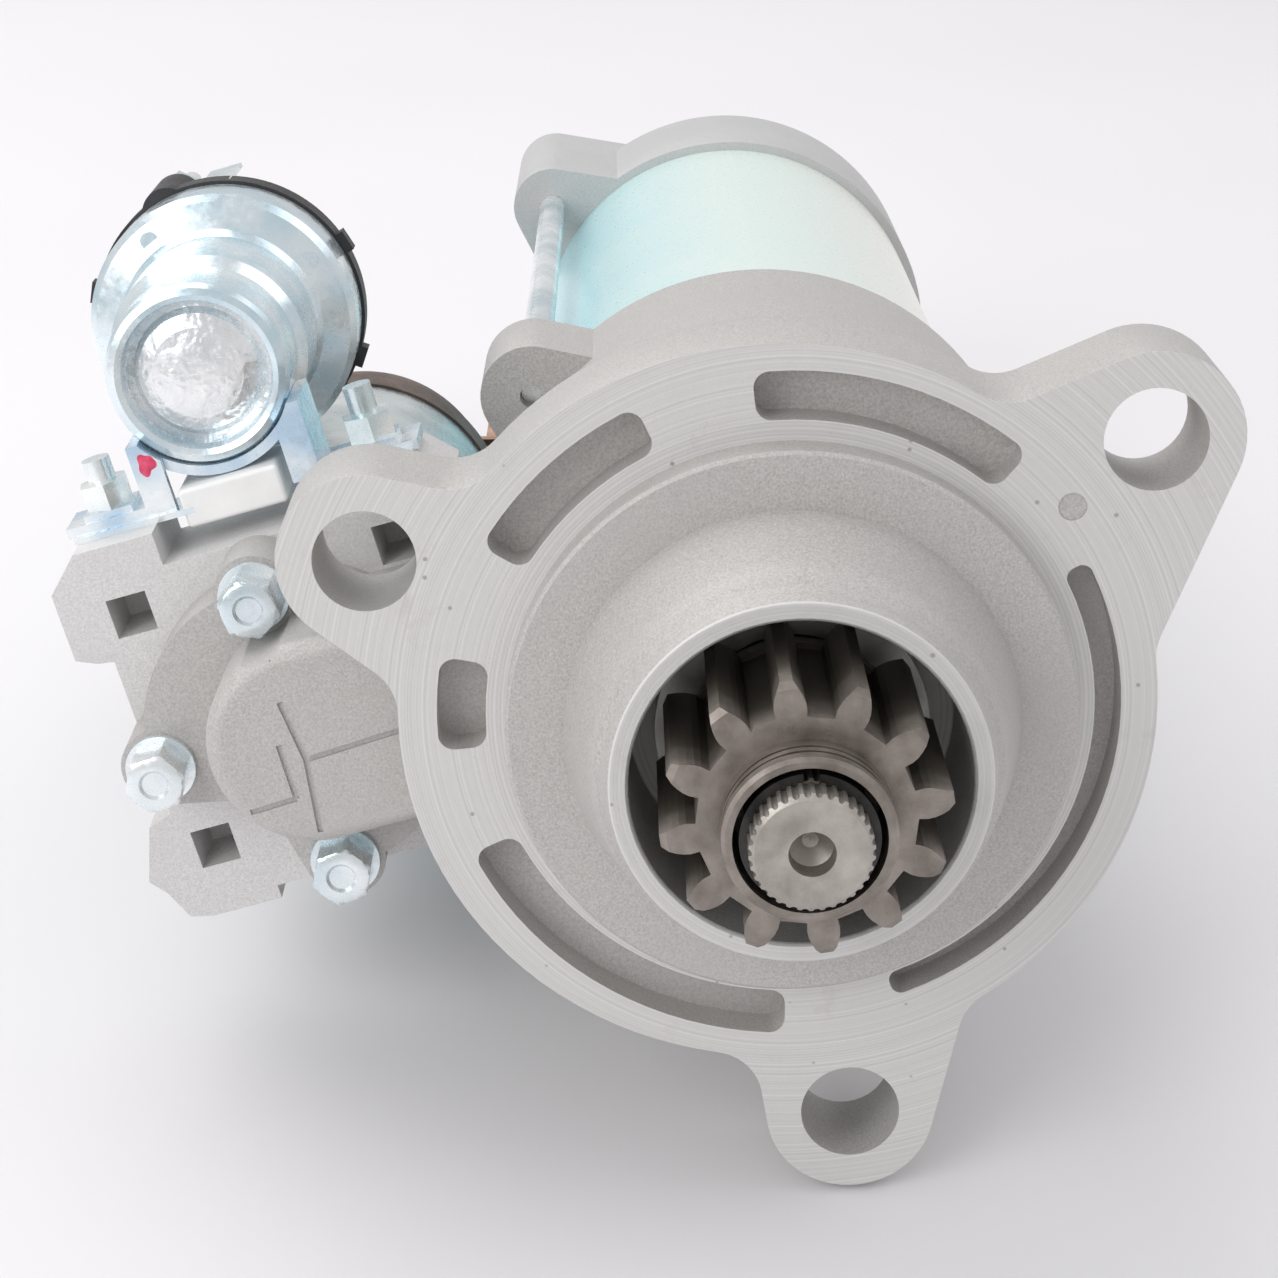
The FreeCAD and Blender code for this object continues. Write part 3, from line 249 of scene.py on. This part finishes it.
def housing_casting():
    """The casting again, with the flange's face and the snout's rim turned bright, a few pits
    in them and some dull worn patches."""
    s = cast_metal("housing_casting", (0.38, 0.37, 0.355), (0.60, 0.585, 0.57))
    y = s.coordinate("Y")
    face = s.math("LESS_THAN", s.math("ABSOLUTE", y), FACE_BAND)
    rim = s.math("LESS_THAN", y, RIM_Y)
    turned = s.math("MAXIMUM", face, rim)
    bright = s.ramp(s.rings(0.45 * MM), 0.32, 0.68, (0.57, 0.56, 0.55), (0.73, 0.72, 0.71))
    pitted = s.blend(s.span(s.cells(5.5 * MM), 0.05, 0.085), (0.40, 0.385, 0.36), bright)
    worn = s.blend(s.span(s.noise(11 * MM, 5.0, 0.7), 0.60, 0.80), pitted, (0.55, 0.53, 0.505))
    s.color(s.blend(turned, s.bsdf.inputs["Base Color"].links[0].from_socket, worn))
    return s


def zinc(name, tint, pale, roughness=0.22):
    """Bright zinc plate with a faint blue-green bloom."""
    s = Shader(name, tint, 0.8, roughness)
    cloud = s.noise(14 * MM, 2.0)
    s.color(s.ramp(cloud, 0.35, 0.64, tint, pale))
    fine = s.noise(1.5 * MM, 2.0)
    s.roughness(fine, 0.3, 0.7, roughness - 0.06, roughness + 0.12)
    s.bump(fine, 0.010 * MM)
    return s


def hammered_plug():
    """The relay's plug is domed and covered with small soft dents."""
    s = zinc("relay_plug_zinc", (0.74, 0.76, 0.78), (0.94, 0.95, 0.96), 0.26)
    s.bump(s.noise(1.9 * MM, 1.5), 0.35 * MM)
    return s


def worked_steel(name, dark, light, roughness=0.34):
    """Machined metal with soft patches of colour and fine tool marks round the axis."""
    s = Shader(name, light, 0.85, roughness)
    patch = s.noise(5 * MM, 4.0)
    marks = s.noise(0.35 * MM, 2.0, 0.5, stretch=(1.0, 7.0, 1.0))
    s.color(s.ramp(patch, 0.3, 0.7, dark, light))
    s.roughness(marks, 0.3, 0.7, roughness - 0.08, roughness + 0.16)
    s.bump(marks, 0.03 * MM)
    return s


def pinion_steel():
    """Brown-grey hardened steel, made darker towards the back of the teeth by painted shade down
    in the tooth spaces.
    """
    s = worked_steel("pinion_steel", (0.20, 0.175, 0.155), (0.36, 0.32, 0.29), 0.38)
    clean = s.bsdf.inputs["Base Color"].links[0].from_socket
    uneven = s.math("MULTIPLY", s.noise(3 * MM, 3.0), 5 * MM)
    # Painted shade: the teeth go nearly black towards the back, in the tooth spaces, where shade
    # falls.
    depth = s.span(s.math("ADD", s.coordinate("Y"), uneven), -41.5 * MM, -34.0 * MM)
    painted_tooth_shade = s.math("MULTIPLY", depth, 0.93)
    s.color(s.blend(painted_tooth_shade, clean, (0.085, 0.075, 0.06)))
    return s


def yoke_plate():
    """Zinc-plated tube whose passivation tint runs from cyan at the left to mint, then turns pale
    at the right as a painted highlight where the light falls.
    """
    s = Shader("yoke_zinc", (0.70, 0.80, 0.79), 0.40, 0.30)
    drift = s.math("MULTIPLY", s.noise(30 * MM, 3.0), 22 * MM)
    across = s.math("ADD", s.coordinate("X"), drift)
    left = s.span(across, -34 * MM, 20 * MM)
    cool = s.ramp(left, 0.05, 0.75, (0.50, 0.82, 0.88), (0.80, 0.93, 0.88))
    # The pale right side is a painted highlight, not the plating's own colour.
    s.color(s.blend(s.span(across, 18 * MM, 48 * MM), cool, (0.90, 0.91, 0.87)))
    s.roughness(s.noise(1.2 * MM, 2.0), 0.3, 0.7, 0.27, 0.35)
    s.bump(s.noise(7 * MM, 1.0), 0.012 * MM)
    return s


def moulded(name, dark, light, roughness=0.5):
    """Moulded plastic, rubber or pressed powder: matt, faintly mottled and grained."""
    s = Shader(name, light, 0.0, roughness)
    fine = s.noise(0.6 * MM, 3.0)
    s.color(s.ramp(s.noise(7 * MM, 3.0), 0.3, 0.7, dark, light))
    s.roughness(fine, 0.3, 0.7, roughness - 0.08, roughness + 0.1)
    s.bump(fine, 0.05 * MM)
    return s


def copper(name):
    """Copper with darker tarnished patches."""
    s = Shader(name, (0.70, 0.42, 0.27), 0.95, 0.32)
    patch = s.noise(5 * MM, 4.0)
    s.color(s.ramp(patch, 0.35, 0.68, (0.50, 0.28, 0.17), (0.80, 0.52, 0.36)))
    s.roughness(patch, 0.3, 0.7, 0.24, 0.46)
    s.bump(s.noise(0.7 * MM, 2.0), 0.02 * MM)
    return s


def paint():
    """Thick red inspection paint."""
    s = Shader("paint_dab", (0.75, 0.05, 0.14), 0.0, 0.4)
    s.color(s.ramp(s.noise(1.2 * MM, 3.0), 0.3, 0.7, (0.62, 0.03, 0.10), (0.82, 0.10, 0.20)))
    s.bump(s.noise(0.8 * MM, 2.0), 0.08 * MM)
    return s


CASTINGS = {
    "solenoid_block_casting": ((0.55, 0.545, 0.54), (0.78, 0.77, 0.765)),
    "cover_casting": ((0.46, 0.46, 0.46), (0.62, 0.62, 0.62)),
}
ZINCS = {
    "solenoid_can_zinc": ((0.56, 0.62, 0.63), (0.76, 0.80, 0.80), 0.30),
    "bolt_zinc": ((0.62, 0.72, 0.76), (0.92, 0.95, 0.96)),
    "relay_can_zinc": ((0.62, 0.76, 0.83), (0.93, 0.97, 0.98), 0.20),
    "bracket_zinc": ((0.52, 0.68, 0.82), (0.90, 0.95, 0.97), 0.20),
    "small_fastener_zinc": ((0.64, 0.74, 0.76), (0.93, 0.96, 0.95)),
    "terminal_nut_steel": ((0.56, 0.56, 0.54), (0.76, 0.76, 0.74), 0.3),
}
WORKED = {
    "shaft_steel": ((0.32, 0.30, 0.27), (0.52, 0.49, 0.45), 0.36),
    # The stop ring is near black as black oxide steel, and also as painted shade standing in for
    # the dark gap round it.
    "stop_ring_black": ((0.03, 0.03, 0.03), (0.07, 0.068, 0.065)),
    "seal_case_grey": ((0.52, 0.51, 0.48), (0.68, 0.67, 0.63), 0.40),
    "bush_bronze": ((0.36, 0.24, 0.10), (0.58, 0.42, 0.20)),
    "gear_steel": ((0.24, 0.24, 0.24), (0.42, 0.42, 0.42)),
    "lamination_steel": ((0.18, 0.18, 0.19), (0.34, 0.34, 0.35), 0.42),
    "spring_steel": ((0.30, 0.30, 0.31), (0.50, 0.50, 0.52)),
    "magnetic_steel": ((0.36, 0.36, 0.37), (0.56, 0.56, 0.57)),
}
MOULDINGS = {
    "relay_base_black": ((0.012, 0.012, 0.013), (0.035, 0.035, 0.038)),
    "sleeve_white": ((0.90, 0.90, 0.89), (0.97, 0.97, 0.96), 0.42),
    "cap_brown": ((0.07, 0.045, 0.035), (0.15, 0.105, 0.085)),
    "rubber_black": ((0.014, 0.014, 0.014), (0.03, 0.03, 0.03), 0.62),
    "magnet_grey": ((0.06, 0.06, 0.065), (0.12, 0.12, 0.13), 0.55),
    "brush_carbon": ((0.05, 0.045, 0.045), (0.11, 0.09, 0.08), 0.5),
    "insulator_brown": ((0.12, 0.08, 0.05), (0.24, 0.17, 0.12)),
}


def make_materials():
    """One material for each of the record's slots."""
    made = {
        "housing_casting": housing_casting(),
        "yoke_zinc": yoke_plate(),
        "pinion_steel": pinion_steel(),
        "relay_plug_zinc": hammered_plug(),
        "terminal_copper": copper("terminal_copper"),
        "winding_copper": copper("winding_copper"),
    }
    recipes = ((cast_metal, CASTINGS), (zinc, ZINCS), (worked_steel, WORKED), (moulded, MOULDINGS))
    for recipe, looks in recipes:
        for slot, look in looks.items():
            made[slot] = recipe(slot, *look)
    return {slot: shader.material for slot, shader in made.items()}


def dress_nodes(materials):
    """Every CAD node takes its slot's material. Modifiers round the castings' shown edges, and
    the CAD meshes themselves stay as they are."""
    for part in frame["record"]["subparts"]:
        thing = NODES[part["node"]]
        thing.data.materials.clear()
        thing.data.materials.append(materials[part["material_slot"]])
    for node in EDGED:
        weld = NODES[node].modifiers.new("joined_faces", "WELD")
        weld.merge_threshold = WELD_GAP
        bevel = NODES[node].modifiers.new("worn_edge", "BEVEL")
        bevel.width = EDGE_WIDTH
        bevel.segments = 2
        bevel.limit_method = "ANGLE"
        bevel.angle_limit = EDGE_ANGLE


# ---------------------------------------------------------------- extra pieces
def add_piece(name, mesh_maker, material, smooth=35.0):
    """Builds one mesh piece, gives it a finish and lets it ride on the motor's frame."""
    bm = bmesh.new()
    mesh_maker(bm)
    mesh = bpy.data.meshes.new(name)
    bm.normal_update()
    bm.to_mesh(mesh)
    bm.free()
    thing = bpy.data.objects.new(name, mesh)
    bpy.context.scene.collection.objects.link(thing)
    mesh.materials.append(material)
    mesh.shade_smooth()
    mesh.set_sharp_from_angle(angle=math.radians(smooth))
    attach(thing, ROOT)
    return thing


def ring_stack(bm, centre, levels, profile, around):
    """Joins one ring of vertices at each level along Y, and returns its two end faces."""
    rings = []
    for y in levels:
        ring = []
        for i in range(around):
            angle = math.tau * i / around
            r = profile(y, angle)
            x, z = centre[0] + r * math.cos(angle), centre[1] + r * math.sin(angle)
            ring.append(bm.verts.new((x, y, z)))
        rings.append(ring)
    for low, high in zip(rings, rings[1:]):
        for i in range(around):
            j = (i + 1) % around
            bm.faces.new((low[i], high[i], high[j], low[j]))
    return bm.faces.new(rings[0]), bm.faces.new(list(reversed(rings[-1])))


def hexagon_radius(flats, angle):
    """Distance from a hexagon's middle to its edge, in the direction of angle."""
    return 0.5 * flats / math.cos((angle + math.pi / 6) % (math.pi / 3) - math.pi / 6)


def hex_head(bm, centre, y_top, y_seat, flats, turn):
    """A hexagon whose corners are cut back by a cone at its dished outer face."""
    inward = 1.0 if y_seat > y_top else -1.0
    height = abs(y_seat - y_top)
    levels = sorted(y_top + inward * step for step in (*CHAMFER_STEPS, height))
    top = 0 if inward > 0 else -1

    def profile(y, angle):
        cone = 0.46 * flats + 1.9 * abs(y - y_top)
        return min(hexagon_radius(flats, angle + turn), cone)

    caps = ring_stack(bm, centre, levels, profile, 72)
    bm.normal_update()
    bmesh.ops.inset_region(bm, faces=[caps[top]], thickness=0.18 * flats, depth=0.0)
    bmesh.ops.inset_region(bm, faces=[caps[top]], thickness=0.5 * MM, depth=-DISH_DEPTH)


def threaded_rod(bm, centre, y0, y1, thread_from):
    """A bolt's shank along Y, plain up to thread_from and threaded from there to y1."""
    step = BOLT_PITCH / 5
    count = int(abs(y1 - thread_from) / step)
    sign = 1.0 if y1 > thread_from else -1.0
    turns = {thread_from + sign * step * i for i in range(1, count)}
    levels = sorted({y0, thread_from, y1} | turns)

    def profile(y, angle):
        along = sign * (y - thread_from)
        if along <= 0:
            return BOLT_R
        phase = ((y - thread_from) / BOLT_PITCH + angle / math.tau) % 1.0
        left = abs(y1 - y)
        taper = min(1.0, 0.82 + left / (1.2 * MM) * 0.18)
        return (BOLT_R - 0.55 * BOLT_PITCH * (1.0 - abs(2.0 * phase - 1.0))) * taper

    ring_stack(bm, centre, levels, profile, 40)


def washer(bm, centre, y0, y1, r):
    """A round collar with slightly rounded edges."""
    middle = 0.5 * (y0 + y1)

    def profile(y, angle):
        return r if y == middle else r - 0.15 * MM

    ring_stack(bm, centre, (y0, middle, y1), profile, 64)


def loose_boxes(node):
    """The low and high corners of each separate solid in a CAD node."""
    bm = bmesh.new()
    bm.from_mesh(NODES[node].data)
    bmesh.ops.remove_doubles(bm, verts=bm.verts, dist=0.001 * MM)
    seen = set()
    boxes = []
    for start in bm.verts:
        if start in seen:
            continue
        seen.add(start)
        stack = [start]
        found = []
        while stack:
            here = stack.pop()
            found.append(here.co.copy())
            for edge in here.link_edges:
                other = edge.other_vert(here)
                if other not in seen:
                    seen.add(other)
                    stack.append(other)
        low = [min(point[axis] for point in found) for axis in range(3)]
        high = [max(point[axis] for point in found) for axis in range(3)]
        boxes.append((low, high))
    bm.free()
    return sorted(boxes, key=lambda box: (round(box[0][0], 5), round(box[0][2], 5)))


def hex_bolt(bm, centre, ends, thread_from, turn, flats, collar, height, collar_height):
    """A bolt from its head's face to its tip, which are the two ends."""
    face, tip = ends
    inward = 1.0 if tip > face else -1.0
    seat = face + inward * height
    under = seat - inward * collar_height
    hex_head(bm, centre, face, under, flats, turn)
    washer(bm, centre, *sorted((under, seat)), collar)
    threaded_rod(bm, centre, seat, tip, thread_from)


def add_bolts(materials):
    """Hexagon bolts with chamfered heads and real threads in place of the plain CAD ones."""
    for kind, head in BOLT_HEADS.items():
        for index, (low, high) in enumerate(loose_boxes(kind)):
            centre = (0.5 * (low[0] + high[0]), 0.5 * (low[2] + high[2]))
            if kind == "solenoid_bolts":
                ends = (low[1], high[1])
                thread_from = low[1] + SOLENOID_THREAD_START
                turn = 0.5 * index + 0.2
            else:
                ends = (high[1], low[1])
                thread_from = low[1] + THROUGH_THREAD_LENGTH
                turn = 0.3

            def bolt(bm):
                hex_bolt(bm, centre, ends, thread_from, turn, *head)

            name = "%s_%d" % (kind[:-1], index + 1)
            piece = add_piece(name, bolt, materials["bolt_zinc"])
            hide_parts(kind)


def add_paint_dab():
    """A dab of red inspection paint on the front of the relay bracket's left leg."""
    sleeve_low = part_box("lead_sleeve")[0]
    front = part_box("relay_bracket")[0][1]
    cx, cz = sleeve_low[0] + DAB_OFFSET_X, sleeve_low[2] + DAB_OFFSET_Z

    def dab(bm):
        around, rings = 40, 5
        middle = bm.verts.new((cx, front - DAB_HEIGHT, cz))
        last = None
        for k in range(1, rings + 1):
            ring = []
            for i in range(around):
                angle = math.tau * i / around
                edge = 1.0 + 0.16 * math.sin(3 * angle + 0.7) + 0.09 * math.sin(5 * angle + 2.0)
                share = k / rings
                r = DAB_R * edge * share
                lift = DAB_HEIGHT * (1.0 - share ** 2)
                x, z = cx + r * math.cos(angle), cz + 1.25 * r * math.sin(angle)
                ring.append(bm.verts.new((x, front - lift, z)))
            for i in range(around):
                j = (i + 1) % around
                if last:
                    bm.faces.new((last[i], ring[i], ring[j], last[j]))
                else:
                    bm.faces.new((middle, ring[i], ring[j]))
            last = ring
        bm.faces.new(list(reversed(last)))

    add_piece("paint_dab", dab, paint().material, smooth=60.0)


# ---------------------------------------------------------------- stage
def make_stage():
    """A plain pale table that the lower ear and the rear cover rest on, soft light, the camera."""
    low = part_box("drive_end_housing")[0][2]
    reach = FLOOR_REACH
    mesh = bpy.data.meshes.new("floor")
    rise = math.tan(REST_TILT)
    spread = ((-reach, -reach), (reach, -reach), (reach, reach), (-reach, reach))
    corners = [(x, y, low + (y - REST_Y) * rise) for x, y in spread]
    mesh.from_pydata(corners, [], [(0, 1, 2, 3)])
    floor = bpy.data.objects.new("floor", mesh)
    bpy.context.scene.collection.objects.link(floor)
    cloth = Shader("floor_pale", (0.80, 0.79, 0.805), 0.0, 0.75)
    mottle = cloth.noise(0.3, 2.0)
    cloth.color(cloth.ramp(mottle, 0.3, 0.7, (0.79, 0.78, 0.795), (0.82, 0.812, 0.825)))
    mesh.materials.append(cloth.material)

    world = bpy.data.worlds.new("studio")
    bpy.context.scene.world = world
    world.use_nodes = True
    background = world.node_tree.nodes["Background"]
    background.inputs["Color"].default_value = (1.0, 0.99, 1.0, 1.0)
    background.inputs["Strength"].default_value = WORLD_STRENGTH

    for light in LIGHTS:
        add_light(*light)
    bpy.context.scene.view_settings.view_transform = "Standard"

    camera = bpy.data.objects.new("camera", bpy.data.cameras.new("camera"))
    bpy.context.scene.collection.objects.link(camera)
    camera.data.lens = CAMERA_LENS
    camera.data.sensor_width = CAMERA_SENSOR
    camera.location = CAMERA_PLACE
    camera.rotation_euler = CAMERA_AIM.to_track_quat("-Z", "Y").to_euler()
    bpy.context.scene.camera = camera


def add_light(name, place, size, watts, color):
    """A round soft light, aimed at the middle of the motor."""
    light = bpy.data.lights.new(name, "AREA")
    light.shape = "DISK"
    light.size = size
    light.energy = watts
    light.color = color
    thing = bpy.data.objects.new(name, light)
    bpy.context.scene.collection.objects.link(thing)
    thing.location = place
    thing.rotation_euler = (LIGHT_AIM - Vector(place)).to_track_quat("-Z", "Y").to_euler()


materials = make_materials()
dress_nodes(materials)
add_bolts(materials)
add_paint_dab()
make_stage()
